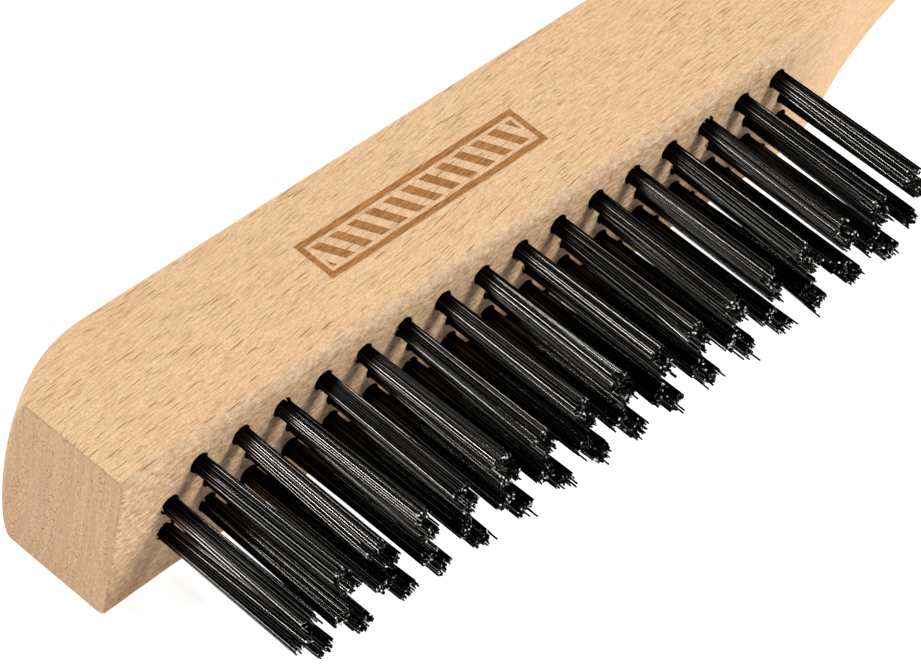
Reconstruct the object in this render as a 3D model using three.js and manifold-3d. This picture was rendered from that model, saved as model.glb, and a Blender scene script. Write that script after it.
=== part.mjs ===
// A hand wire brush: one shaped beech block that is head and handle in one, drilled with four
// staggered rows of blind holes, and a tuft of steel wire seated in each hole.
//
// The block is laid out from its nose (x = 0), its bristle face (y = 0) and its lower side face
// (z = 0). +X runs from the nose to the end of the handle, -Y is the way the bristles point, and +Z
// is the normal of the upper side face: the brush lies on its side. The group at the end moves the
// origin to the bottom centre of the whole brush. All sizes are in millimetres.

import * as THREE from 'three';
import { mergeVertices } from 'three/addons/utils/BufferGeometryUtils.js';
import Module from 'manifold-3d';

// Head of the block
const brushLength = 290;
const blockWidth = 28.6; // between the two flat side faces
const edgeHeight = 27.3; // from the bristle face to the two edges of the back
const headCrown = 2.3; // how far the back bulges between its edges
const noseArcRadius = 28; // the back curves down to the flat nose on this radius
const noseArcRun = 19; // how far behind the nose that curve starts
const noseEdgeRadius = 1.2; // rounding of the bristle face's long edges at the nose
const headEdgeRadius = 2; // and along the rest of the head
const headEdgeStart = 12;

// Neck and grip, at their stations along the block
const neckStart = 150; // where the bristle face ends
const backDipStart = 170; // where the back starts to dip
const narrowStart = 185; // where the side faces start to draw in
const waist = 205; // where the neck has become the grip
const swell = 258; // the thickest part of the grip
const endRun = 14; // length of the rounded end
const waistUnderside = 10.8; // heights over the bristle face
const swellUnderside = 8.6;
const endUnderside = 9.4;
const waistEdgeHeight = 23.6;
const swellEdgeHeight = 24.2;
const endEdgeHeight = 23.6;
const waistHalfWidth = 11.8;
const swellHalfWidth = 12.8;
const endHalfWidth = 12.2;
const gripEdgeRadius = 6.5;
const gripCrown = 5.2;
const hangHoleRadius = 4;
const hangHoleFromEnd = 15;

// Tufts
const tuftPitch = 8.66; // along a row
const rowSpacing = 5.5; // between neighbouring rows
const rowStagger = 0.6 * tuftPitch; // the two middle rows start this much nearer the nose
const firstTuft = 16.2; // from the nose to the first tuft of the outer rows
const outerRowCount = 16;
const middleRowCount = 17;
const boreRadius = 1.75;
const boreDepth = 13;
const seatGap = 0.3; // round and above a tuft in its bore
const tuftLength = 28.5; // wire standing out of the bristle face
const tipRadius = 2.4; // the wires of a tuft spread towards their ends
const middleLean = 0.45; // how far the tips of the two middle rows lean towards each other

// How finely the curves are cut
const boreSides = 10;
const crownSteps = 10;
const cornerSteps = 3;
const hangHoleSides = 20;
const endAngles = [15, 30, 45, 60, 75, 86];

const midWidth = blockWidth / 2;
const endStart = brushLength - endRun;

// The block's curves against x, from the nose back. The two middle points of a Bezier piece only set
// how softly it leaves one station and meets the next.

// Side view of the underside: along the bristle face, up the neck and along the grip.
const underside = new THREE.Path()
  .moveTo(0, 0)
  .lineTo(neckStart, 0)
  .bezierCurveTo(neckStart + 18, 0, neckStart + 22, 9.5, waist, waistUnderside)
  .bezierCurveTo(waist + 18, 11.5, swell - 20, swellUnderside, swell, swellUnderside)
  .lineTo(endStart, endUnderside);

// Side view of the back's edges, behind the nose curve.
const backEdge = new THREE.Path()
  .moveTo(noseArcRun, edgeHeight)
  .lineTo(backDipStart, edgeHeight)
  .bezierCurveTo(backDipStart + 15, edgeHeight, waist - 12, waistEdgeHeight, waist + 6, waistEdgeHeight)
  .bezierCurveTo(waist + 24, waistEdgeHeight, swell - 18, swellEdgeHeight, swell, swellEdgeHeight)
  .lineTo(endStart, endEdgeHeight);

// Half the width, the radius of the two lower edges and the crown of the back, all against x.
const halfWidth = new THREE.Path()
  .moveTo(0, midWidth)
  .lineTo(narrowStart, midWidth)
  .bezierCurveTo(narrowStart + 13, midWidth, waist, waistHalfWidth, waist + 15, waistHalfWidth)
  .bezierCurveTo(waist + 30, waistHalfWidth, swell - 18, swellHalfWidth, swell, swellHalfWidth)
  .lineTo(endStart, endHalfWidth);
const lowerEdgeRadius = new THREE.Path()
  .moveTo(0, noseEdgeRadius)
  .lineTo(headEdgeStart, headEdgeRadius)
  .lineTo(neckStart, headEdgeRadius)
  .bezierCurveTo(neckStart + 25, headEdgeRadius, waist - 10, gripEdgeRadius, waist + 10, gripEdgeRadius)
  .lineTo(endStart, gripEdgeRadius);
const crown = new THREE.Path()
  .moveTo(0, headCrown)
  .lineTo(backDipStart, headCrown)
  .bezierCurveTo(backDipStart + 20, headCrown, waist - 10, gripCrown, waist + 10, gripCrown)
  .lineTo(endStart, gripCrown);

// Where the block's cross-sections are drawn.
const noseStations = [0, 1.5, 4, 8, 13, noseArcRun];
const neckStations = [neckStart, 157, 163, 169, 175, 181, 188, 196, waist];
const gripStations = [213, 222, 233, 245, swell, 267, endStart];

const wasm = await Module();
wasm.setup();

const beech = new THREE.MeshStandardMaterial({ color: '#e0bb8a', roughness: 0.65, metalness: 0 });
const wire = new THREE.MeshStandardMaterial({ color: '#2b2a29', roughness: 0.35, metalness: 1 });

// Value of a curve at x, for a curve that only runs forwards in x.
function valueAt(curve, x) {
  let low = 0;
  let high = 1;
  for (let step = 0; step < 40; step += 1) {
    const middle = (low + high) / 2;
    if (curve.getPoint(middle).x < x) low = middle;
    else high = middle;
  }
  return curve.getPoint(high).y;
}

// Height of the back at x, where the crown bulges by the given amount.
function backHeight(x, bulge) {
  if (x >= noseArcRun) return valueAt(backEdge, x) + bulge;
  const fromArcStart = noseArcRun - x;
  return edgeHeight - noseArcRadius + Math.sqrt((noseArcRadius + bulge) ** 2 - fromArcStart ** 2);
}

// Closed outline of the block at x: two rounded lower edges, two straight sides and the crowned back.
function sectionAt(x) {
  const low = valueAt(underside, x);
  const half = valueAt(halfWidth, x);
  const radius = valueAt(lowerEdgeRadius, x);
  const bulge = valueAt(crown, x);
  const points = [];
  for (const side of [-1, 1]) {
    for (let step = 0; step <= cornerSteps; step += 1) {
      const turn = (step / cornerSteps) * (Math.PI / 2);
      const angle = side < 0 ? turn : Math.PI / 2 - turn;
      const y = low + radius * (1 - Math.sin(angle));
      const z = midWidth + side * (half - radius + radius * Math.cos(angle));
      points.push(new THREE.Vector3(x, y, z));
    }
  }
  for (let step = 0; step <= crownSteps; step += 1) {
    const angle = (step / crownSteps) * Math.PI;
    const y = backHeight(x, bulge * Math.sin(angle));
    points.push(new THREE.Vector3(x, y, midWidth + half * Math.cos(angle)));
  }
  return points;
}

// The last full section drawn in towards its middle and moved on, to round off the handle's end.
function endSection(degrees) {
  const angle = THREE.MathUtils.degToRad(degrees);
  const full = sectionAt(endStart);
  const middle = new THREE.Box3().setFromPoints(full).getCenter(new THREE.Vector3());
  const shift = new THREE.Vector3(endRun * Math.sin(angle), 0, 0);
  return full.map((point) => point.clone().lerp(middle, 1 - Math.cos(angle)).add(shift));
}

// A closed skin over sections that all have the same number of points.
function loft(sections) {
  const count = sections[0].length;
  const faces = [];
  for (let ring = 0; ring < sections.length - 1; ring += 1) {
    for (let j = 0; j < count; j += 1) {
      const here = ring * count + j;
      const beside = ring * count + ((j + 1) % count);
      faces.push(here, here + count, beside + count, here, beside + count, beside);
    }
  }
  const last = (sections.length - 1) * count;
  for (let j = 1; j < count - 1; j += 1) {
    faces.push(0, j, j + 1, last, last + j + 1, last + j);
  }
  const geometry = new THREE.BufferGeometry().setFromPoints(sections.flat());
  geometry.setIndex(faces);
  return geometry;
}

// A three.js geometry as a solid that can be joined and cut.
function toSolid(geometry) {
  const bare = geometry.clone();
  bare.deleteAttribute('normal');
  bare.deleteAttribute('uv');
  const merged = mergeVertices(bare, 1e-4);
  const vertProperties = new Float32Array(merged.attributes.position.array);
  const triVerts = new Uint32Array(merged.index.array);
  return new wasm.Manifold(new wasm.Mesh({ numProp: 3, vertProperties, triVerts }));
}

function toGeometry(solid) {
  const mesh = solid.getMesh();
  const geometry = new THREE.BufferGeometry();
  geometry.setAttribute('position', new THREE.BufferAttribute(mesh.vertProperties, 3));
  geometry.setIndex(new THREE.BufferAttribute(mesh.triVerts, 1));
  geometry.computeVertexNormals();
  return geometry;
}

// Place of each tuft in a row on the bristle face. Rows are numbered 0 to 3 from the upper side face.
function rowPlaces(row) {
  const isMiddle = row === 1 || row === 2;
  const start = isMiddle ? firstTuft - rowStagger : firstTuft;
  const z = midWidth + (1.5 - row) * rowSpacing;
  const count = isMiddle ? middleRowCount : outerRowCount;
  return Array.from({ length: count }, (_, i) => ({ x: start + i * tuftPitch, z }));
}

// The blind hole of one tuft, drawn out past the bristle face so that the cut is clean.
function bore({ x, z }) {
  const overshoot = 1;
  const shape = new THREE.CylinderGeometry(boreRadius, boreRadius, boreDepth + overshoot, boreSides);
  shape.translate(x, (boreDepth - overshoot) / 2, z);
  return toSolid(shape);
}

// The hole through both side faces that the brush hangs by.
function hangHole() {
  const shape = new THREE.CylinderGeometry(
    hangHoleRadius,
    hangHoleRadius,
    2 * blockWidth,
    hangHoleSides,
  );
  const x = brushLength - hangHoleFromEnd;
  const middle = (valueAt(underside, x) + backHeight(x, valueAt(crown, x))) / 2;
  shape.rotateX(Math.PI / 2).translate(x, middle, midWidth);
  return toSolid(shape);
}

function handleBlock() {
  const stations = [...noseStations, ...neckStations, ...gripStations];
  const sections = [...stations.map(sectionAt), ...endAngles.map(endSection)];
  let solid = toSolid(loft(sections)).subtract(hangHole());
  for (const row of [0, 1, 2, 3]) {
    for (const place of rowPlaces(row)) solid = solid.subtract(bore(place));
  }
  const block = new THREE.Mesh(toGeometry(solid), beech);
  block.name = 'handle_block';
  return block;
}

// One tuft: packed tight in its bore, spreading evenly from the bristle face to its tip, which leans
// sideways by the given amount.
function tuftGeometry({ x, z }, lean = 0) {
  const rootRadius = boreRadius - seatGap;
  const seat = boreDepth - seatGap;
  const profile = [
    new THREE.Vector2(0, -tuftLength),
    new THREE.Vector2(tipRadius, -tuftLength),
    new THREE.Vector2(rootRadius, -seatGap),
    new THREE.Vector2(rootRadius, seat),
    new THREE.Vector2(0, seat),
  ];
  const tuft = new THREE.LatheGeometry(profile, boreSides);
  const points = tuft.attributes.position;
  for (let i = 0; i < points.count; i += 1) {
    const isTip = points.getY(i) < -tuftLength / 2;
    if (isTip) points.setZ(i, points.getZ(i) + lean);
  }
  return tuft.translate(x, 0, z);
}

function numbered(name, index) {
  return `${name}_${String(index + 1).padStart(2, '0')}`;
}

// The tufts of an outer row stand clear of their neighbours, each in a node of its own.
function outerRow(row, name) {
  return rowPlaces(row).map((place, index) => {
    const tuft = new THREE.Mesh(toGeometry(toSolid(tuftGeometry(place))), wire);
    tuft.name = numbered(name, index);
    return tuft;
  });
}

// The tufts of the two middle rows stand side by side and lean until their spread tips touch, so each
// pair is one solid.
function middleRows() {
  const beside = rowPlaces(2);
  return rowPlaces(1).map((place, index) => {
    const near = toSolid(tuftGeometry(place, -middleLean));
    const far = toSolid(tuftGeometry(beside[index], middleLean));
    const tufts = new THREE.Mesh(toGeometry(near.add(far)), wire);
    tufts.name = numbered('middle_tuft_pair', index);
    return tufts;
  });
}

const brush = new THREE.Group();
brush.add(handleBlock());
brush.add(...outerRow(0, 'upper_tuft'));
brush.add(...middleRows());
brush.add(...outerRow(3, 'lower_tuft'));

// The origin goes to the middle of the brush's box, on the surface that it lies on.
const topOfBack = edgeHeight + headCrown;
brush.position.set(-brushLength / 2, (tuftLength - topOfBack) / 2, 0);

export default brush;
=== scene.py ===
import math

import bmesh
import bpy
import numpy as np
from mathutils import Matrix, Vector, noise


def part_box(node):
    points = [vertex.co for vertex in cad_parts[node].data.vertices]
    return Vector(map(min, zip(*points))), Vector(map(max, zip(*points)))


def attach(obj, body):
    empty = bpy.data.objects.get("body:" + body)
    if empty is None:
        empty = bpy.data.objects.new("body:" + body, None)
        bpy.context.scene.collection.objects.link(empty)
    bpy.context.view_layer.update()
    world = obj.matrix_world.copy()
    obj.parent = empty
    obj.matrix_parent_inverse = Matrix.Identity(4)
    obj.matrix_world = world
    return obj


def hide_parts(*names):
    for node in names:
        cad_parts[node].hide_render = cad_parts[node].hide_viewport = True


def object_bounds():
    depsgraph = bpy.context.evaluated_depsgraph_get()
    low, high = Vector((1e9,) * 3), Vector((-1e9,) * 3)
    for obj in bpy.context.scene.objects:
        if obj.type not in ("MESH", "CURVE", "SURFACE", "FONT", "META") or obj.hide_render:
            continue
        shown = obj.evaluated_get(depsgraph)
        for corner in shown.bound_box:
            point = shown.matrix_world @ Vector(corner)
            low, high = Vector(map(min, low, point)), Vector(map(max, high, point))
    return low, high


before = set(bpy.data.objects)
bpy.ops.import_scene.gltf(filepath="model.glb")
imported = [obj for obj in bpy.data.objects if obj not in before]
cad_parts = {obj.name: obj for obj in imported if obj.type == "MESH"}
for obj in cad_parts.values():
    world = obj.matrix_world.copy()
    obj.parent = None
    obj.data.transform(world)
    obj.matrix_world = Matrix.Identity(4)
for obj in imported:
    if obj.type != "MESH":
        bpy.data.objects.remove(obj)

# The block is laid out as in the CAD source: millimetres from its nose (x), its bristle face (y)
# and its lower side face (z). to_frame() moves such points into the shared frame.
MM = 0.001
CAD_LOW, CAD_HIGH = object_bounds()
LENGTH = 290.0
WIDTH = 28.6
EDGE_HEIGHT = 27.3
HEAD_CROWN = 2.3
NOSE_ARC_RADIUS = 28.0
NOSE_ARC_RUN = 19.0
END_RUN = 14.0
END_START = LENGTH - END_RUN
HANG_HOLE_RADIUS = 4.0
HANG_HOLE_FROM_END = 15.0
BORE_RADIUS = 1.75
BORE_DEPTH = 13.0
ROW_SPACING = 5.5
MIDDLE = WIDTH / 2
BLOCK_ORIGIN = np.array([CAD_LOW.x, CAD_HIGH.y - (EDGE_HEIGHT + HEAD_CROWN) * MM, CAD_LOW.z])


def to_frame(points):
    return np.asarray(points, dtype=float) * MM + BLOCK_ORIGIN


def to_block(point):
    return (np.asarray(point, dtype=float) - BLOCK_ORIGIN) / MM


# ---------------------------------------------------------------- mesh helpers


def new_mesh_object(name, points, faces, materials):
    mesh = bpy.data.meshes.new(name)
    mesh.from_pydata(np.asarray(points).tolist(), [], faces)
    for material in materials:
        mesh.materials.append(material)
    piece = bpy.data.objects.new(name, mesh)
    bpy.context.scene.collection.objects.link(piece)
    return piece


def make_outward(mesh):
    work = bmesh.new()
    work.from_mesh(mesh)
    bmesh.ops.recalc_face_normals(work, faces=work.faces)
    work.to_mesh(mesh)
    work.free()


def side_faces(count, rings):
    """The quads between rings of points that follow each other, with count points in each ring."""
    faces = []
    for ring in range(rings - 1):
        for j in range(count):
            here, beside = ring * count + j, ring * count + (j + 1) % count
            faces.append((here, here + count, beside + count, beside))
    return faces


def loft(rings):
    """A closed body through rings of points, with a flat face over the first and the last."""
    count = len(rings[0])
    last = (len(rings) - 1) * count
    faces = side_faces(count, len(rings))
    faces.append(tuple(range(count)))
    faces.append(tuple(last + j for j in reversed(range(count))))
    return np.concatenate(rings), faces


def joined(bodies):
    """The points and faces of several bodies as those of one mesh."""
    points, faces, total = [], [], 0
    for body_points, body_faces in bodies:
        points.append(body_points)
        faces += [tuple(total + i for i in face) for face in body_faces]
        total += len(body_points)
    return np.concatenate(points), faces


def turned(profile, sides, origin, axis, ragged=0.0, rng=None):
    """The rings of a body of revolution: profile is (distance along the axis, radius) in order."""
    across = [i for i in range(3) if i != axis]
    wobble = 1 + (rng.normal(0, ragged, sides) if rng is not None else np.zeros(sides))
    angles = np.arange(sides) / sides * 2 * math.pi
    rings = []
    for distance, radius in profile:
        ring = np.zeros((sides, 3))
        ring[:, axis] = distance
        ring[:, across[0]] = radius * wobble * np.cos(angles)
        ring[:, across[1]] = radius * wobble * np.sin(angles)
        rings.append(ring + origin)
    return rings


# ---------------------------------------------------------------- node helpers


class Nodes:
    """Short ways to add and wire the nodes of one material."""

    def __init__(self, name):
        self.material = bpy.data.materials.new(name)
        self.material.use_nodes = True
        self.tree = self.material.node_tree
        self.shader = self.tree.nodes["Principled BSDF"]

    def link(self, source, target):
        """Wires a socket to the target, or sets the target to a plain value."""
        if isinstance(source, bpy.types.NodeSocket):
            self.tree.links.new(source, target)
        else:
            target.default_value = source

    def math(self, operation, a, b=0.0):
        node = self.tree.nodes.new("ShaderNodeMath")
        node.operation = operation
        self.link(a, node.inputs[0])
        self.link(b, node.inputs[1])
        return node.outputs[0]

    def product(self, first, *others):
        for other in others:
            first = self.math("MULTIPLY", first, other)
        return first

    def vector(self, operation, a, b=(0.0, 0.0, 0.0)):
        node = self.tree.nodes.new("ShaderNodeVectorMath")
        node.operation = operation
        self.link(a, node.inputs[0])
        self.link(b, node.inputs[1])
        return node.outputs[0]

    def length(self, vector):
        node = self.tree.nodes.new("ShaderNodeVectorMath")
        node.operation = "LENGTH"
        self.link(vector, node.inputs[0])
        return node.outputs["Value"]

    def split(self, vector):
        node = self.tree.nodes.new("ShaderNodeSeparateXYZ")
        self.link(vector, node.inputs[0])
        return node.outputs

    def join(self, x, y, z):
        node = self.tree.nodes.new("ShaderNodeCombineXYZ")
        for value, socket in zip((x, y, z), node.inputs):
            self.link(value, socket)
        return node.outputs[0]

    def coordinates(self, kind):
        return self.tree.nodes.new("ShaderNodeTexCoord").outputs[kind]

    def noise(self, vector, scale=1.0, detail=2.0, roughness=0.5):
        node = self.tree.nodes.new("ShaderNodeTexNoise")
        self.link(vector, node.inputs["Vector"])
        node.inputs["Scale"].default_value = scale
        node.inputs["Detail"].default_value = detail
        node.inputs["Roughness"].default_value = roughness
        return node.outputs["Fac"]

    def stretched_noise(self, vector, scales, detail=2.0, roughness=0.5):
        """Noise with a scale of its own along each axis."""
        return self.noise(self.vector("MULTIPLY", vector, scales), 1.0, detail, roughness)

    def cells(self, vector):
        """Voronoi cells: the distance to a cell's centre, its random colour and the centre itself."""
        node = self.tree.nodes.new("ShaderNodeTexVoronoi")
        self.link(vector, node.inputs["Vector"])
        node.inputs["Scale"].default_value = 1.0
        return node.outputs["Distance"], node.outputs["Color"], node.outputs["Position"]

    def ramp(self, value, low, high, to_low=0.0, to_high=1.0, smooth=True):
        """Goes from to_low at low to to_high at high, and stays there beyond them."""
        node = self.tree.nodes.new("ShaderNodeMapRange")
        node.interpolation_type = "SMOOTHSTEP" if smooth else "LINEAR"
        for item, socket in zip((value, low, high, to_low, to_high), node.inputs):
            self.link(item, socket)
        return node.outputs[0]

    def between(self, share, at_zero, at_one):
        return self.ramp(share, 0.0, 1.0, at_zero, at_one, smooth=False)

    def mix(self, amount, a, b, blend="MIX"):
        node = self.tree.nodes.new("ShaderNodeMix")
        node.data_type = "RGBA"
        node.blend_type = blend
        self.link(amount, node.inputs[0])
        for value, socket in ((a, node.inputs[6]), (b, node.inputs[7])):
            self.link((*value, 1.0) if isinstance(value, tuple) else value, socket)
        return node.outputs[2]

    def attribute(self, name):
        node = self.tree.nodes.new("ShaderNodeAttribute")
        node.attribute_name = name
        return node.outputs["Fac"]

    def bump(self, height, distance, strength):
        node = self.tree.nodes.new("ShaderNodeBump")
        node.inputs["Strength"].default_value = strength
        node.inputs["Distance"].default_value = distance
        self.link(height, node.inputs["Height"])
        return node.outputs[0]


# ---------------------------------------------------------------- beech

# Colours are linear RGB. Where two are given, the pattern goes from the first to the second.
STREAKS = (0.70, 0.44, 0.235), (0.80, 0.53, 0.295)
CLOUDS = (0.74, 0.455, 0.27)
RINGS = (0.60, 0.35, 0.18)
FIBRES = (0.55, 0.32, 0.155)
GRIT = (0.86, 0.62, 0.38)
LINES = (0.47, 0.25, 0.105)
RAYS = (0.26, 0.110, 0.024)
PORES = (0.17, 0.085, 0.035)
END_GRAIN = (0.36, 0.22, 0.115), (0.54, 0.35, 0.20)
END_DUST = (0.68, 0.475, 0.29)
END_STRIPES = (0.36, 0.22, 0.12)
FLAT_GRAIN = (0.62, 0.40, 0.225), (0.49, 0.295, 0.155)
FLECKS = (0.34, 0.165, 0.062)
TORN_WOOD = (0.34, 0.18, 0.09), (0.84, 0.60, 0.375)
# Painted shade on the bristle face: its colour is multiplied by the first factors at the lower side face
# and by the second from 18 mm up.
BRISTLE_PAINTED_SHADE_LOW = (0.57, 0.52, 0.42)
BRISTLE_PAINTED_SHADE_HIGH = 1.08
# Painted highlight: the paler tone on the rounded edges beside the bristle face.
ROUNDED_EDGE_PAINTED_HIGHLIGHT = (0.51, 0.345, 0.20), (0.73, 0.535, 0.345)
CHAR = (0.215, 0.078, 0.013), (0.49, 0.205, 0.042)
# Painted shade: the walls inside the bores.
BORE_WALL_PAINTED_SHADE = (0.07, 0.035, 0.015)

HEAD_END = (143.0, 155.0)
GRAIN_CLIMB = -0.08
GRAIN_WANDER = 7.0
RING_PITCH = 2.7
# Each size of ray: cells per millimetre along the three axes, darkness of the darkest, and a shift
# that keeps the two patterns apart.
RAY_SIZES = (((0.24, 1.6, 0.06), 1.0, 0.0), ((0.38, 3.3, 0.08), 0.8, 31.0))
RAY_NARROWING = (1.0, 2.9, 1.0)
RELIEF_HEIGHT = 0.00008

MARK_CENTRE = (77.5, 14.2)
MARK_LENGTH = 48.0
MARK_HEIGHT = 8.4
MARK_RAGGEDNESS = 0.22
FRAME_LINE_INSET = 0.55
BAR_PITCH = 3.9
BAR_SLANT = 0.55


def burned_mark(n, millimetres, facing_up):
    """A plain burned-in band: a long frame filled with slanted bars. Gives how burned a point is."""
    x, y, _ = n.split(millimetres)
    roughness = n.math("SUBTRACT", n.noise(millimetres, 3.0, 3.0), 0.5)
    ragged = n.math("MULTIPLY", roughness, MARK_RAGGEDNESS)
    across = n.math("SUBTRACT", x, MARK_CENTRE[0])
    up = n.math("SUBTRACT", y, MARK_CENTRE[1])
    to_end = n.math("SUBTRACT", n.math("ABSOLUTE", across), MARK_LENGTH / 2)
    to_side = n.math("SUBTRACT", n.math("ABSOLUTE", up), MARK_HEIGHT / 2)
    to_edge = n.math("ADD", n.math("MAXIMUM", to_end, to_side), ragged)
    inside = n.ramp(to_edge, 0.06, -0.06)
    to_line = n.math("ABSOLUTE", n.math("ADD", to_edge, FRAME_LINE_INSET))
    frame_line = n.ramp(to_line, 0.62, 0.5)

    # The shift of 400 mm keeps the phase above zero, and sets where the bars start.
    along = n.math("ADD", across, n.math("MULTIPLY", up, BAR_SLANT))
    phase = n.math("FRACT", n.math("DIVIDE", n.math("ADD", along, 400.0), BAR_PITCH))
    from_middle = n.math("ABSOLUTE", n.math("SUBTRACT", phase, 0.5))
    bar = n.ramp(n.math("ADD", from_middle, n.math("MULTIPLY", ragged, 0.2)), 0.27, 0.23)
    within = n.ramp(to_edge, -1.75, -1.85)
    drawn = n.math("MAXIMUM", frame_line, n.product(bar, within))
    return n.product(drawn, inside, facing_up)


def climbing_grain(n, millimetres):
    """Millimetres along and across the grain, which climbs towards the back and wanders."""
    x, y, z = n.split(millimetres)
    drift = n.math("SUBTRACT", n.stretched_noise(millimetres, (0.014, 0.04, 0.04), 1.0), 0.5)
    wander = n.math("MULTIPLY", drift, GRAIN_WANDER)
    climb = n.math("MULTIPLY", x, GRAIN_CLIMB)
    return n.join(x, n.math("ADD", n.math("ADD", y, climb), wander), n.math("ADD", z, wander))


def wood_rays(n, grain, edge_grain, end_grain):
    """Rays: short dark dashes on the side faces, thin lines on the end grain, in two sizes."""
    rows = n.vector("ADD", n.vector("MULTIPLY", grain, (0.03, 1.3, 0.05)), (5.0, 5.0, 5.0))
    stagger = n.math("MULTIPLY", n.noise(rows), 14.0)
    staggered = n.vector("ADD", grain, n.join(stagger, 0.0, 5.3))
    rays = 0.0
    for scales, darkest, shift in RAY_SIZES:
        shifted = n.vector("ADD", n.vector("MULTIPLY", staggered, scales), (shift, shift, shift))
        _, ray_colour, ray_centre = n.cells(shifted)
        ray_kind, ray_size, _ = n.split(ray_colour)
        off_centre = n.vector("MULTIPLY", n.vector("SUBTRACT", shifted, ray_centre), RAY_NARROWING)
        ray_edge = n.between(ray_size, 0.26, 0.46)
        ray_shape = n.ramp(n.math("SUBTRACT", ray_edge, n.length(off_centre)), 0.0, 0.12)
        ray = n.product(ray_shape, n.between(ray_kind, 0.15, darkest))
        rays = n.math("MAXIMUM", ray, rays)
    return n.product(rays, n.between(edge_grain, 1.0, 0.10), n.between(end_grain, 1.0, 0.35))


def wood_pores(n, grain):
    """Pores: fine streaks along the grain, dots on the end grain, denser in some columns."""
    distance, pore_colour, _ = n.cells(n.vector("MULTIPLY", grain, (0.22, 2.3, 2.0)))
    pore_kind = n.split(pore_colour)[0]
    columns = n.ramp(n.stretched_noise(grain, (0.02, 0.8, 0.05)), 0.42, 0.58, 0.15, 1.0)
    return n.product(n.ramp(distance, 0.37, 0.22), n.ramp(pore_kind, 0.5, 0.85), columns)


def wood_flecks(n, grain):
    """Flecks: the rays as they show on the back and on the bristle face."""
    distance, fleck_colour, _ = n.cells(n.vector("MULTIPLY", grain, (0.22, 0.3, 2.4)))
    fleck_kind = n.split(fleck_colour)[0]
    return n.product(n.ramp(distance, 0.38, 0.20), n.ramp(fleck_kind, 0.3, 1.0, smooth=False))


def growth_rings(n, millimetres, clouds):
    """Growth rings, which lie nearly parallel to the side faces."""
    _, y, z = n.split(millimetres)
    bend = n.math("POWER", n.math("ABSOLUTE", n.math("SUBTRACT", y, 8.0)), 2.0)
    depth = n.math("ADD", z, n.math("MULTIPLY", bend, 0.012))
    depth = n.math("ADD", depth, n.math("MULTIPLY", clouds, 4.0))
    phase = n.math("FRACT", n.math("DIVIDE", n.math("ADD", depth, 100.0), RING_PITCH))
    return n.ramp(phase, 0.55, 1.0)


def side_face_colour(n, millimetres, grain, fibres, lines):
    streaks = n.stretched_noise(grain, (0.03, 0.5, 0.5), 3.0, 0.55)
    clouds = n.stretched_noise(grain, (0.05, 0.09, 0.09))
    grit = n.stretched_noise(grain, (1.0, 4.5, 4.5), 3.0, 0.8)
    rings = growth_rings(n, millimetres, clouds)
    colour = n.mix(streaks, *STREAKS)
    colour = n.mix(n.ramp(clouds, 0.35, 0.7, 0.0, 0.6), colour, CLOUDS)
    colour = n.mix(n.math("MULTIPLY", rings, 0.20), colour, RINGS)
    colour = n.mix(n.ramp(fibres, 0.40, 0.66, 0.0, 0.30), colour, FIBRES)
    colour = n.mix(n.ramp(grit, 0.42, 0.62, 0.0, 0.55), colour, GRIT)
    return n.mix(n.ramp(lines, 0.46, 0.66, 0.0, 0.30), colour, LINES)


def end_grain_colour(n, grain, fibres):
    dust = n.stretched_noise(grain, (2.0, 2.6, 1.3), 4.0, 0.75)
    stripes = n.stretched_noise(grain, (0.02, 1.1, 0.04), 3.0, 0.6)
    colour = n.mix(n.ramp(fibres, 0.35, 0.65), *END_GRAIN)
    colour = n.mix(n.ramp(dust, 0.42, 0.66, 0.0, 0.65), colour, END_DUST)
    return n.mix(n.ramp(stripes, 0.35, 0.65, 0.0, 0.45), colour, END_STRIPES)


def bristle_face_colour(n, millimetres):
    """Torn, mottled wood between the bores, with painted shade that darkens it towards the lower side
    face.
    """
    z = n.split(millimetres)[2]
    mottle = n.ramp(n.stretched_noise(millimetres, (0.6, 1.4, 1.5), 5.0, 0.75), 0.34, 0.64)
    # Painted shade: darker towards the lower side face, a little lighter towards the top.
    shade = n.join(*(n.ramp(z, 1.0, 18.0, dark, BRISTLE_PAINTED_SHADE_HIGH) for dark in BRISTLE_PAINTED_SHADE_LOW))
    return n.mix(1.0, n.mix(mottle, *TORN_WOOD), shade, "MULTIPLY")


def beech_relief(n, grain, torn, heights):
    """Bump from the fibres, what is sunk below them, and fuzz that is strongest on torn wood."""
    fibres, rays, pores, burned = heights
    relief = n.math("SUBTRACT", fibres, n.math("MULTIPLY", rays, 0.9))
    relief = n.math("SUBTRACT", relief, n.math("MULTIPLY", pores, 0.6))
    relief = n.math("SUBTRACT", relief, n.math("MULTIPLY", burned, 2.0))
    fuzz = n.stretched_noise(grain, (0.9, 2.2, 2.2), 4.0, 0.65)
    fuzz_height = n.math("MULTIPLY", fuzz, n.between(torn, 0.6, 5.0))
    return n.bump(n.math("ADD", relief, fuzz_height), RELIEF_HEIGHT, 0.8)


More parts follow.
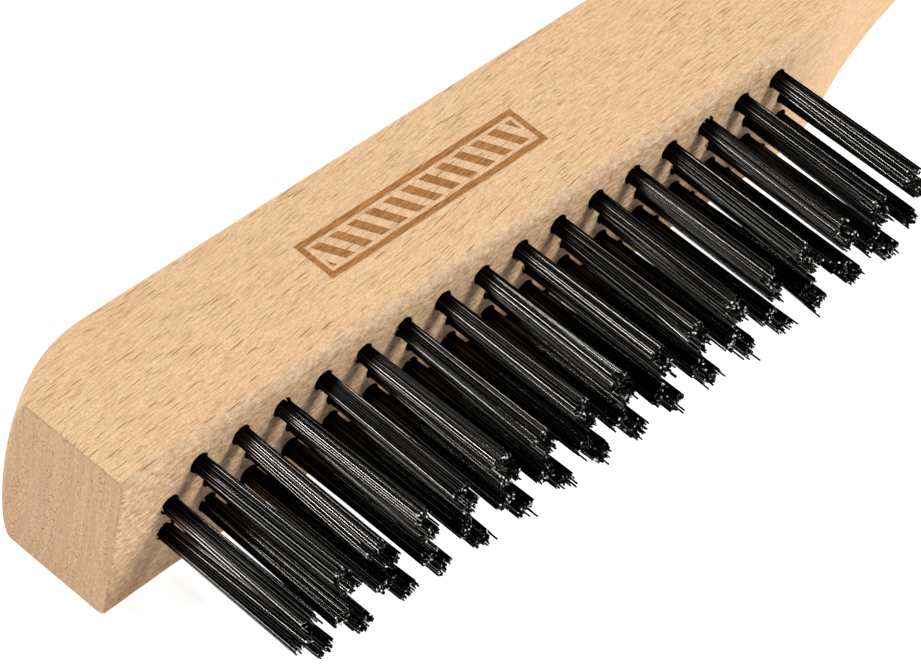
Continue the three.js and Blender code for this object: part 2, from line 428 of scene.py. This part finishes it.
def beech_material():
    n = Nodes("beech")
    place = n.vector("SUBTRACT", n.coordinates("Object"), tuple(BLOCK_ORIGIN))
    millimetres = n.vector("SCALE", place)
    millimetres.node.inputs["Scale"].default_value = 1 / MM
    grain = climbing_grain(n, millimetres)

    # Which face of the block a point is on, from the direction it faces.
    normal_x, normal_y, normal_z = n.split(n.coordinates("Normal"))
    end_grain = n.ramp(n.math("ABSOLUTE", normal_x), 0.55, 0.85)
    edge_grain = n.ramp(n.math("ABSOLUTE", normal_y), 0.45, 0.85)
    facing_up = n.ramp(normal_z, 0.97, 0.995)
    on_head = n.ramp(n.split(millimetres)[0], *HEAD_END, 1.0, 0.0)
    torn = n.product(n.ramp(normal_y, -0.45, -0.85), on_head)
    to_side = n.ramp(n.math("ABSOLUTE", normal_z), 0.22, 0.6)
    # Painted highlight on the rounded edges beside the bristle face, picked by the way they face.
    edge_highlight_mask = n.product(n.ramp(normal_y, -0.10, -0.42), to_side, on_head)

    fibres = n.stretched_noise(grain, (0.35, 4.0, 4.0), 4.0, 0.65)
    lines = n.stretched_noise(grain, (0.20, 3.2, 3.2), 1.0)
    lint = n.stretched_noise(millimetres, (0.9, 1.6, 1.6), 4.0, 0.7)
    sand = n.stretched_noise(grain, (4.0, 7.0, 7.0), 2.0, 0.7)
    rays = wood_rays(n, grain, edge_grain, end_grain)
    pores = wood_pores(n, grain)
    flecks = n.product(wood_flecks(n, grain), edge_grain)
    burned = burned_mark(n, millimetres, facing_up)

    colour = side_face_colour(n, millimetres, grain, fibres, lines)
    colour = n.mix(n.product(end_grain, 0.9), colour, end_grain_colour(n, grain, fibres))
    flat_grain = n.mix(n.ramp(lines, 0.36, 0.62), *FLAT_GRAIN)
    colour = n.mix(n.product(edge_grain, 0.8), colour, flat_grain)
    colour = n.mix(n.product(flecks, 0.80), colour, FLECKS)
    colour = n.mix(n.product(torn, 0.75), colour, bristle_face_colour(n, millimetres))
    # Painted highlight on the rounded edges.
    colour = n.mix(n.product(edge_highlight_mask, 0.7), colour, n.mix(n.ramp(lint, 0.35, 0.65), *ROUNDED_EDGE_PAINTED_HIGHLIGHT))
    colour = n.mix(rays, colour, RAYS)
    colour = n.mix(n.product(pores, n.between(end_grain, 0.04, 0.9)), colour, PORES)
    colour = n.mix(n.product(burned, 0.95), colour, n.mix(n.ramp(fibres, 0.35, 0.65), *CHAR))
    # Painted shade inside the bores.
    colour = n.mix(n.attribute("bore"), colour, BORE_WALL_PAINTED_SHADE)
    shade = n.ramp(sand, 0.3, 0.7, 0.74, 1.22, smooth=False)
    colour = n.mix(1.0, colour, n.join(shade, shade, shade), "MULTIPLY")

    n.link(colour, n.shader.inputs["Base Color"])
    n.link(n.ramp(fibres, 0.2, 0.8, 0.55, 0.75), n.shader.inputs["Roughness"])
    n.shader.inputs["Specular IOR Level"].default_value = 0.3
    relief = beech_relief(n, grain, torn, (fibres, rays, pores, burned))
    n.link(relief, n.shader.inputs["Normal"])
    return n.material


# ---------------------------------------------------------------- block

CORNER_STEPS = 8
CROWN_STEPS = 44
NOSE_ROUNDING = 0.5
NOSE_ROUNDING_STEPS = 6
END_CAP_DEGREES = np.arange(6, 88, 6)
BEZIER_STEPS = 65
BORE_SIDES = 26
BORE_RAGGEDNESS = 0.018
BORE_CHAMFER = 0.06
BORE_CHAMFER_DEPTH = 0.15
CUTTER_OVERSHOOT = 1.0
HANG_HOLE_SIDES = 40
# The mouths of the hang hole: how far inside the side face, and the radius there.
HANG_HOLE_FLARE = ((-1, 6.2), (0, 5.0), (0.5, 4.3), (1.2, HANG_HOLE_RADIUS))
SHARP_DEGREES = 38


def bezier_profile(start, *pieces):
    """Value against x of a curve given as straight (one point) and Bezier (three points) pieces."""
    xs, values = [start[0]], [start[1]]
    here = np.array(start, dtype=float)
    for piece in pieces:
        points = np.array([here, *np.reshape(piece, (-1, 2))], dtype=float)
        for t in np.linspace(0, 1, BEZIER_STEPS)[1:]:
            layer = points
            while len(layer) > 1:
                layer = layer[:-1] * (1 - t) + layer[1:] * t
            xs.append(layer[0][0])
            values.append(layer[0][1])
        here = points[-1]
    return lambda x: float(np.interp(x, xs, values))


underside = bezier_profile(
    (0, 0),
    (150, 0),
    (168, 0, 172, 9.5, 205, 10.8),
    (223, 11.5, 238, 8.6, 258, 8.6),
    (END_START, 9.4),
)
back_edge = bezier_profile(
    (NOSE_ARC_RUN, EDGE_HEIGHT),
    (170, EDGE_HEIGHT),
    (185, EDGE_HEIGHT, 193, 23.6, 211, 23.6),
    (229, 23.6, 240, 24.2, 258, 24.2),
    (END_START, 23.6),
)
half_width = bezier_profile(
    (0, MIDDLE),
    (185, MIDDLE),
    (198, MIDDLE, 205, 11.8, 220, 11.8),
    (235, 11.8, 240, 12.8, 258, 12.8),
    (END_START, 12.2),
)
lower_edge = bezier_profile(
    (0, 1.2),
    (12, 2),
    (150, 2),
    (175, 2, 195, 6.5, 215, 6.5),
    (END_START, 6.5),
)
crown = bezier_profile(
    (0, HEAD_CROWN),
    (170, HEAD_CROWN),
    (190, HEAD_CROWN, 195, 5.2, 215, 5.2),
    (END_START, 5.2),
)


def back_height(x, bulge):
    if x >= NOSE_ARC_RUN:
        return back_edge(x) + bulge
    reach = (NOSE_ARC_RADIUS + bulge) ** 2 - (NOSE_ARC_RUN - x) ** 2
    return EDGE_HEIGHT - NOSE_ARC_RADIUS + math.sqrt(reach)


def wear(x, side):
    """The sanded lower edges are not quite even along their length."""
    slow = noise.noise(Vector((x * 0.09, side * 7.0, 0.3)))
    fast = noise.noise(Vector((x * 0.4, side, 5.0)))
    return 1 + 0.16 * slow + 0.08 * fast


def section(x, inset=0.0):
    """The block's outline at x: two rounded lower edges and the crowned back."""
    low, half, bulge = underside(x), half_width(x), crown(x)
    points = []
    for side in (-1, 1):
        radius = lower_edge(x) * wear(x, side)
        for step in range(CORNER_STEPS + 1):
            turn = step / CORNER_STEPS * math.pi / 2
            angle = turn if side < 0 else math.pi / 2 - turn
            across = half - radius + radius * math.cos(angle)
            points.append((x, low + radius * (1 - math.sin(angle)), MIDDLE + side * across))
    for step in range(CROWN_STEPS + 1):
        angle = math.pi * (0.5 - 0.5 * math.cos(math.pi * step / CROWN_STEPS))
        height = back_height(x, bulge * math.sin(angle))
        points.append((x, height, MIDDLE + half * math.cos(angle)))
    points = np.array(points)
    if inset:
        centre = (points.max(axis=0) + points.min(axis=0)) / 2
        reach = (points.max(axis=0) - points.min(axis=0)) / 2
        for axis in (1, 2):
            shrink = 1 - inset / reach[axis]
            points[:, axis] = centre[axis] + (points[:, axis] - centre[axis]) * shrink
    return points


def end_section(angle):
    """The outline on the rounded end of the grip, at an angle from 0 to 90 degrees around it."""
    full = section(END_START)
    centre = (full.max(axis=0) + full.min(axis=0)) / 2
    points = centre + (full - centre) * math.cos(angle)
    points[:, 0] = END_START + END_RUN * math.sin(angle)
    return points


def tuft_places():
    """Each tuft node with its tufts: place along and across the block, tip and seat."""
    places = {}
    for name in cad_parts:
        if "tuft" not in name:
            continue
        low, high = (to_block(corner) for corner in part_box(name))
        centre = (low + high) / 2
        sides = (-1, 1) if "pair" in name else (0,)
        places[name] = [
            (centre[0], centre[2] + side * ROW_SPACING / 2, low[1], high[1])
            for side in sides
        ]
    return places


def all_tufts(places):
    return [spot for spots in places.values() for spot in spots]


def block_body():
    rings = []
    for step in range(NOSE_ROUNDING_STEPS):
        turn = step / NOSE_ROUNDING_STEPS * math.pi / 2
        x = NOSE_ROUNDING * (1 - math.cos(turn))
        rings.append(section(x, NOSE_ROUNDING * (1 - math.sin(turn))))
    stations = [
        NOSE_ROUNDING, 1.2,
        *np.arange(2, NOSE_ARC_RUN, 1.0),
        *np.arange(NOSE_ARC_RUN, 150, 2.5),
        *np.arange(150, END_START, 2.0),
        END_START,
    ]
    rings += [section(x) for x in stations]
    rings += [end_section(angle) for angle in np.radians(END_CAP_DEGREES)]
    return loft(rings)


def bore_body(x, z, rng):
    """What is cut away for one bore, slightly uneven and chamfered at its mouth."""
    profile = [
        (-CUTTER_OVERSHOOT, BORE_RADIUS + BORE_CHAMFER),
        (0.0, BORE_RADIUS + BORE_CHAMFER),
        (BORE_CHAMFER_DEPTH, BORE_RADIUS),
        (BORE_DEPTH, BORE_RADIUS),
    ]
    return loft(turned(profile, BORE_SIDES, np.array([x, 0.0, z]), 1, BORE_RAGGEDNESS, rng))


def hang_hole_body():
    """What is cut away for the hang hole, flared at both of its mouths."""
    x = LENGTH - HANG_HOLE_FROM_END
    height = (underside(x) + back_height(x, crown(x))) / 2
    reach = half_width(x)
    flare = [(-reach + inward, radius) for inward, radius in HANG_HOLE_FLARE]
    profile = flare + [(-distance, radius) for distance, radius in reversed(flare)]
    return loft(turned(profile, HANG_HOLE_SIDES, np.array([x, height, MIDDLE]), 2))


def wood_block(places, material):
    points, faces = block_body()
    block = new_mesh_object("wood_block", to_frame(points), faces, [material])
    rng = np.random.default_rng(11)
    bores = [bore_body(x, z, rng) for x, z, *_ in all_tufts(places)]
    points, faces = joined([*bores, hang_hole_body()])
    cutter = new_mesh_object("bore_cutter", to_frame(points), faces, [])
    for piece in (block, cutter):
        make_outward(piece.data)

    cut = block.modifiers.new("bores", "BOOLEAN")
    cut.operation = "DIFFERENCE"
    cut.solver = "EXACT"
    cut.object = cutter
    graph = bpy.context.evaluated_depsgraph_get()
    mesh = bpy.data.meshes.new_from_object(block.evaluated_get(graph))
    block.modifiers.clear()
    block.data = mesh
    bpy.data.objects.remove(cutter)
    mark_bores(mesh, places)
    mesh.polygons.foreach_set("use_smooth", [True] * len(mesh.polygons))
    mesh.set_sharp_from_angle(angle=math.radians(SHARP_DEGREES))
    weighted = block.modifiers.new("flat faces stay flat", "WEIGHTED_NORMAL")
    weighted.keep_sharp = True
    weighted.weight = 100
    return block


def mark_bores(mesh, places):
    """Marks the walls of the bores, which are painted dark as shade inside them, with a face attribute."""
    spots = np.array([(x, z) for x, z, *_ in all_tufts(places)])
    dark = mesh.attributes.new("bore", "FLOAT", "FACE")
    values = []
    for polygon in mesh.polygons:
        x, y, z = to_block(polygon.center)
        distance = np.hypot(spots[:, 0] - x, spots[:, 1] - z).min()
        in_bore = 0.02 < y < BORE_DEPTH + 0.5 and distance < BORE_RADIUS + 0.2
        is_wall = abs(polygon.normal.y) < 0.5
        values.append(1.0 if in_bore and is_wall else 0.0)
    dark.data.foreach_set("value", values)


def splinter_points(x, z, rng):
    """One sliver beside the bore at x, z: the four corners of its foot, and its tip."""
    turn = rng.uniform(0, 2 * math.pi)
    away = BORE_RADIUS + rng.uniform(0.02, 0.30)
    sunk = 0.15
    foot = np.array([x + away * math.cos(turn), sunk, z + away * math.sin(turn)])
    along = np.array([-math.sin(turn), 0.0, math.cos(turn)]) * rng.uniform(0.15, 0.45)
    outward = np.array([math.cos(turn), 0.0, math.sin(turn)])
    thick = outward * rng.uniform(0.04, 0.10)
    rise = np.array([0.0, -rng.uniform(0.25, 0.85), 0.0])
    tip = foot + rise + outward * rng.uniform(-0.15, 0.5) + along * rng.uniform(-0.6, 0.6)
    corners = [foot - along - thick, foot + along - thick, foot + along + thick, foot - along + thick]
    return [*corners, tip]


def splinters(places, material):
    """Torn wood standing up at the bore rims, as thin closed slivers sunk into the bristle face."""
    rng = np.random.default_rng(23)
    points, faces = [], []
    for x, z, *_ in all_tufts(places):
        for _ in range(rng.integers(2, 6)):
            start = len(points)
            points += splinter_points(x, z, rng)
            faces += [(start, start + 1, start + 2, start + 3)]
            faces += [(start + i, start + 4, start + (i + 1) % 4) for i in range(4)]
    piece = new_mesh_object("bore_splinters", to_frame(points), faces, [material])
    make_outward(piece.data)
    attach(piece, "root")


# ---------------------------------------------------------------- wire

WIRE_RADIUS = 0.175
WIRE_SIDES = 8
WIRE_STATIONS = np.array([0.0, 0.18, 0.4, 0.62, 0.82, 1.0])
WIRE_PACKING = 1.06
BUNDLE_RADIUS = 1.42
TIP_SPREAD = 1.27
SEAT_SQUEEZE = 0.92
SEAT_RISE = 0.2
STRAY_SHARE = 0.04
SHORT_SHARE = 0.06
CUT_SLANT = 0.9
CUT_NARROWING = 0.86

WIRE_TONES = (0.009, 0.0088, 0.0082), (0.27, 0.261, 0.242)
WIRE_BLOTCHES = (0.03, 0.028, 0.026)
# Painted shade on the wires near the bristle face and inside the bores.
WIRE_ROOT_PAINTED_SHADE = (0.003, 0.003, 0.003)
DULL_END = (0.02, 0.0195, 0.019)
BRIGHT_END = (0.42, 0.40, 0.37), (0.88, 0.86, 0.81)

STAPLE_OUTLINE = ((-2.3, 11.2), (-1.9, 12.5), (1.9, 12.5), (2.3, 11.2), (1.75, 11.7), (-1.75, 11.7))
STAPLE_THICKNESS = 0.4


def wire_material():
    n = Nodes("oiled_steel_wire")
    tone = n.attribute("tone")
    place = n.coordinates("Object")
    height = n.math("DIVIDE", n.math("SUBTRACT", n.split(place)[1], float(BLOCK_ORIGIN[1])), MM)
    blotches = n.stretched_noise(place, (2500.0, 160.0, 2500.0), 3.0, 0.6)
    colour = n.mix(n.math("POWER", tone, 1.5), *WIRE_TONES)
    colour = n.mix(n.ramp(blotches, 0.5, 0.8, 0.0, 0.22), colour, WIRE_BLOTCHES)
    # Painted shade: the wires darken from 5 mm out of the bristle face and are nearly black from 1 mm out
    # down into the bores.
    root = n.ramp(height, -5.0, -1.0)
    colour = n.mix(n.math("MULTIPLY", root, 0.92), colour, WIRE_ROOT_PAINTED_SHADE)
    n.link(colour, n.shader.inputs["Base Color"])
    n.shader.inputs["Metallic"].default_value = 1.0
    n.shader.inputs["Specular Tint"].default_value = (0.03, 0.03, 0.03, 1.0)
    n.link(n.ramp(blotches, 0.3, 0.7, 0.22, 0.27), n.shader.inputs["Roughness"])
    return n.material


def cut_end_material():
    n = Nodes("cut_wire_end")
    tone = n.attribute("tone")
    grey = n.stretched_noise(n.coordinates("Object"), (3000.0, 3000.0, 3000.0))
    colour = n.mix(n.ramp(tone, 0.28, 0.58), DULL_END, n.mix(grey, *BRIGHT_END))
    n.link(colour, n.shader.inputs["Base Color"])
    n.shader.inputs["Metallic"].default_value = 0.9
    n.link(n.ramp(grey, 0.3, 0.7, 0.22, 0.42), n.shader.inputs["Roughness"])
    return n.material


def packed_disc(rng, radius):
    """Wire centres packed side by side in a round hole."""
    pitch = 2 * WIRE_RADIUS * WIRE_PACKING
    turn, shift = rng.uniform(0, math.pi / 3), rng.uniform(-pitch / 2, pitch / 2, 2)
    steps = np.arange(-8, 9)
    a, b = np.meshgrid(steps, steps)
    grid = np.stack([(a + b / 2).ravel() * pitch, (b * math.sqrt(3) / 2).ravel() * pitch], axis=1)
    cosine, sine = math.cos(turn), math.sin(turn)
    grid = grid @ np.array([[cosine, -sine], [sine, cosine]]).T + shift
    kept = grid[np.hypot(grid[:, 0], grid[:, 1]) < radius]
    return kept + rng.normal(0, 0.012, kept.shape)


def tuft_wires(rng, x, z, tip, seat):
    """Centre lines of one tuft's wires, as (wire, station, xyz) in the block's millimetres."""
    roots = packed_disc(rng, BUNDLE_RADIUS)
    count = len(roots)
    spread = TIP_SPREAD * np.array([1 + rng.normal(0, 0.07), 1 + rng.normal(0, 0.07)])
    lean = rng.normal(0, 0.26, 2)

    # Wires that stand together lean together, in two waves across the tuft. Each wave uses the
    # first two of its three random numbers.
    swirl = rng.normal(0, 1.0, (2, 3))
    waves = ((1.9, 1.3), (-1.2, 2.1))
    clump = 0.08 * np.stack([
        np.sin(roots @ np.array(wave) * (1 + 0.3 * turn[0]) + 3 * turn[1])
        for wave, turn in zip(waves, swirl)
    ], axis=1)
    own = rng.normal(0, 0.07, (count, 2))
    bow = rng.normal(0, 0.02, (count, 2))
    stray = rng.random(count) < STRAY_SHARE
    own[stray] += rng.normal(0, 0.55, (stray.sum(), 2))

    # The length that stands out: a tilted, uneven cut, some short wires, and longer stray ones.
    tilt = rng.normal(0, 0.16, 2)
    free = -tip + rng.normal(-0.25, 0.28, count) + roots @ tilt
    short = rng.random(count) < SHORT_SHARE
    free[short] -= rng.uniform(0.6, 2.4, short.sum())
    free[stray] += rng.uniform(0.4, 2.0, stray.sum())

    lines = np.zeros((count, len(WIRE_STATIONS) + 1, 3))
    lines[:, 0, 0] = x + roots[:, 0] * SEAT_SQUEEZE
    lines[:, 0, 1] = seat - SEAT_RISE
    lines[:, 0, 2] = z + roots[:, 1] * SEAT_SQUEEZE
    for station, t in enumerate(WIRE_STATIONS):
        offset = roots * (1 + (spread - 1) * t) + (clump + own + lean) * t + bow * math.sin(math.pi * t)
        lines[:, station + 1, 0] = x + offset[:, 0]
        lines[:, station + 1, 1] = -free * t
        lines[:, station + 1, 2] = z + offset[:, 1]
    return lines


def wire_points(lines, rng):
    """Rings of points round each centre line, the last one slanted as the wire is cut."""
    count = len(lines)
    angles = np.arange(WIRE_SIDES) / WIRE_SIDES * 2 * math.pi + rng.uniform(0, 1, (count, 1))
    circle = np.stack([np.cos(angles), np.zeros_like(angles), np.sin(angles)], axis=-1) * WIRE_RADIUS
    points = lines[:, :, None, :] + circle[:, None, :, :]
    slant = rng.uniform(-1, 1, (count, 2)) * CUT_SLANT
    points[:, -1, :, 1] += circle[:, :, 0] * slant[:, :1] + circle[:, :, 2] * slant[:, 1:]
    points[:, -1, :, 0] = lines[:, -1, 0][:, None] + circle[:, :, 0] * CUT_NARROWING
    return points.reshape(-1, 3)


def wire_faces(count, stations):
    """The side, seat and tip faces of the wires."""
    ring = np.arange(WIRE_SIDES)
    beside = (ring + 1) % WIRE_SIDES
    first = (np.arange(stations - 1) * WIRE_SIDES)[:, None]
    above = first + WIRE_SIDES
    quads = np.stack([first + ring, first + beside, above + beside, above + ring], axis=-1)
    starts = (np.arange(count) * stations * WIRE_SIDES)[:, None, None]
    sides = (quads.reshape(-1, 4)[None] + starts).reshape(-1, 4).tolist()
    seats = (ring[::-1][None] + starts[:, 0]).tolist()
    tips = ((stations - 1) * WIRE_SIDES + ring[None] + starts[:, 0]).tolist()
    return sides, seats, tips


def wires_object(name, lines, rng, materials):
    """All wires of one node as closed tubes with slanted, cut ends."""
    count, stations = lines.shape[:2]
    points = wire_points(lines, rng)
    sides, seats, tips = wire_faces(count, stations)
    piece = new_mesh_object(name, to_frame(points), sides + seats + tips, materials)
    mesh = piece.data
    smooth = [True] * len(sides) + [False] * (len(seats) + len(tips))
    mesh.polygons.foreach_set("use_smooth", smooth)
    shown_in = [0] * (len(sides) + len(seats)) + [1] * len(tips)
    mesh.polygons.foreach_set("material_index", shown_in)

    # The rims of both ends are sharp edges.
    ends = np.array([edge.vertices[:] for edge in mesh.edges]) // WIRE_SIDES % stations
    at_end = (ends[:, 0] == ends[:, 1]) & ((ends[:, 0] == 0) | (ends[:, 0] == stations - 1))
    mesh.attributes.new("sharp_edge", "BOOLEAN", "EDGE").data.foreach_set("value", at_end)
    tones = np.repeat(rng.beta(0.55, 1.5, count), stations * WIRE_SIDES)
    mesh.attributes.new("tone", "FLOAT", "POINT").data.foreach_set("value", tones)
    make_outward(mesh)
    return piece


def tufts(places, materials):
    for index, (name, spots) in enumerate(sorted(places.items())):
        rng = np.random.default_rng(100 + index)
        lines = np.concatenate([tuft_wires(rng, *spot) for spot in spots])
        piece = wires_object("wires_" + name, lines, rng, materials)
        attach(piece, "root")
        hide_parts(name)


def staple_body(x, z):
    halves = (-STAPLE_THICKNESS / 2, STAPLE_THICKNESS / 2)
    return loft([np.array([(x + half, y, z + across) for across, y in STAPLE_OUTLINE]) for half in halves])


def anchor_staples(places, material):
    """The flat wire that holds each tuft at the bottom of its bore, its two ends bitten into the wood."""
    points, faces = joined([staple_body(x, z) for x, z, *_ in all_tufts(places)])
    piece = new_mesh_object("anchor_staples", to_frame(points), faces, [material])
    make_outward(piece.data)
    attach(piece, "root")


# ---------------------------------------------------------------- studio

VIEW_TARGET = (60.07, -10.01, 28.6)
VIEW_DISTANCE = 0.81235
VIEW_AZIMUTH = -55.537
VIEW_ELEVATION = 45.312
VIEW_ROLL = 12.108
VIEW_LENS = 215.02

# Each softbox: name, direction it stands in, distance in metres, size in metres, power in watts.
SOFTBOXES = (
    ("key", (0.36, -0.60, 0.71), 1.2, (0.5, 0.5), 14.2),
    ("left", (-0.71, 0.43, 0.556), 1.0, (0.26, 0.24), 4.8),
    ("back_fill", (0.25, 0.85, 0.45), 1.2, (0.8, 0.5), 6),
)
LIT_POINT = (75, 0, 14)
WORLD_STRENGTH = 0.03

# The floor is a disc that curves up into a low backdrop all the way round, in metres.
FLOOR_REACH = 3.2
FLOOR_BEND = 0.5
FLOOR_TOP = 0.8
FLOOR_GAP = 0.00005
FLOOR_SIDES = 96
FLOOR_GLOW = 0.87


def camera():
    azimuth, elevation, roll = map(math.radians, (VIEW_AZIMUTH, VIEW_ELEVATION, VIEW_ROLL))
    level_reach = math.cos(elevation)
    back = Vector((
        math.sin(azimuth) * level_reach,
        -math.cos(azimuth) * level_reach,
        math.sin(elevation),
    ))
    level = Vector((0, 0, 1)).cross(back).normalized()
    right = Matrix.Rotation(roll, 3, back) @ level
    up = back.cross(right)
    made = bpy.data.objects.new("camera", bpy.data.cameras.new("camera"))
    bpy.context.scene.collection.objects.link(made)
    made.data.lens = VIEW_LENS
    made.data.clip_start, made.data.clip_end = 0.01, 20
    rotation = Matrix((right, up, back)).transposed()
    place = Vector(to_frame(VIEW_TARGET)) + back * VIEW_DISTANCE
    made.matrix_world = Matrix.Translation(place) @ rotation.to_4x4()
    bpy.context.scene.camera = made


def softbox(name, direction, distance, size, power):
    lamp = bpy.data.lights.new(name, "AREA")
    lamp.shape = "RECTANGLE"
    lamp.size, lamp.size_y = size
    lamp.energy = power
    made = bpy.data.objects.new(name, lamp)
    bpy.context.scene.collection.objects.link(made)
    towards = Vector(direction).normalized()
    made.location = Vector(to_frame(LIT_POINT)) + towards * distance
    made.rotation_mode = "QUATERNION"
    made.rotation_quaternion = towards.to_track_quat("Z", "Y")


def floor_material():
    n = Nodes("pale_floor")
    speckle = n.noise(n.coordinates("Object"), 900.0, 2.0)
    n.link(n.mix(speckle, (0.59, 0.59, 0.59), (0.61, 0.61, 0.61)), n.shader.inputs["Base Color"])
    n.shader.inputs["Emission Color"].default_value = (1.0, 1.0, 1.0, 1.0)
    n.shader.inputs["Emission Strength"].default_value = FLOOR_GLOW
    n.shader.inputs["Roughness"].default_value = 0.9
    n.shader.inputs["Specular IOR Level"].default_value = 0.1
    return n.material


def studio():
    outline = [(FLOOR_REACH, 0.0)]
    for turn in np.radians(np.arange(10, 91, 10)):
        radius = FLOOR_REACH + FLOOR_BEND * math.sin(turn)
        outline.append((radius, FLOOR_BEND - FLOOR_BEND * math.cos(turn)))
    outline.append((FLOOR_REACH + FLOOR_BEND, FLOOR_TOP))
    height = CAD_LOW.z - FLOOR_GAP
    angles = np.arange(FLOOR_SIDES) / FLOOR_SIDES * 2 * math.pi
    points = [
        (radius * math.cos(angle), radius * math.sin(angle), height + up)
        for radius, up in outline
        for angle in angles
    ]
    faces = [tuple(range(FLOOR_SIDES))] + side_faces(FLOOR_SIDES, len(outline))
    floor = new_mesh_object("floor", points, faces, [floor_material()])
    floor.data.polygons.foreach_set("use_smooth", [False] + [True] * (len(faces) - 1))

    world = bpy.data.worlds.new("studio")
    bpy.context.scene.world = world
    world.use_nodes = True
    background = world.node_tree.nodes["Background"]
    background.inputs["Color"].default_value = (1.0, 1.0, 1.0, 1.0)
    background.inputs["Strength"].default_value = WORLD_STRENGTH
    for values in SOFTBOXES:
        softbox(*values)
    bpy.context.scene.view_settings.view_transform = "Standard"
    bpy.context.scene.view_settings.look = "None"


camera()
studio()
wood = beech_material()
wire = wire_material()
cut_end = cut_end_material()
tuft_spots = tuft_places()
block = wood_block(tuft_spots, wood)
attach(block, "root")
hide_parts("handle_block")
splinters(tuft_spots, wood)
tufts(tuft_spots, [wire, cut_end])
anchor_staples(tuft_spots, wire)
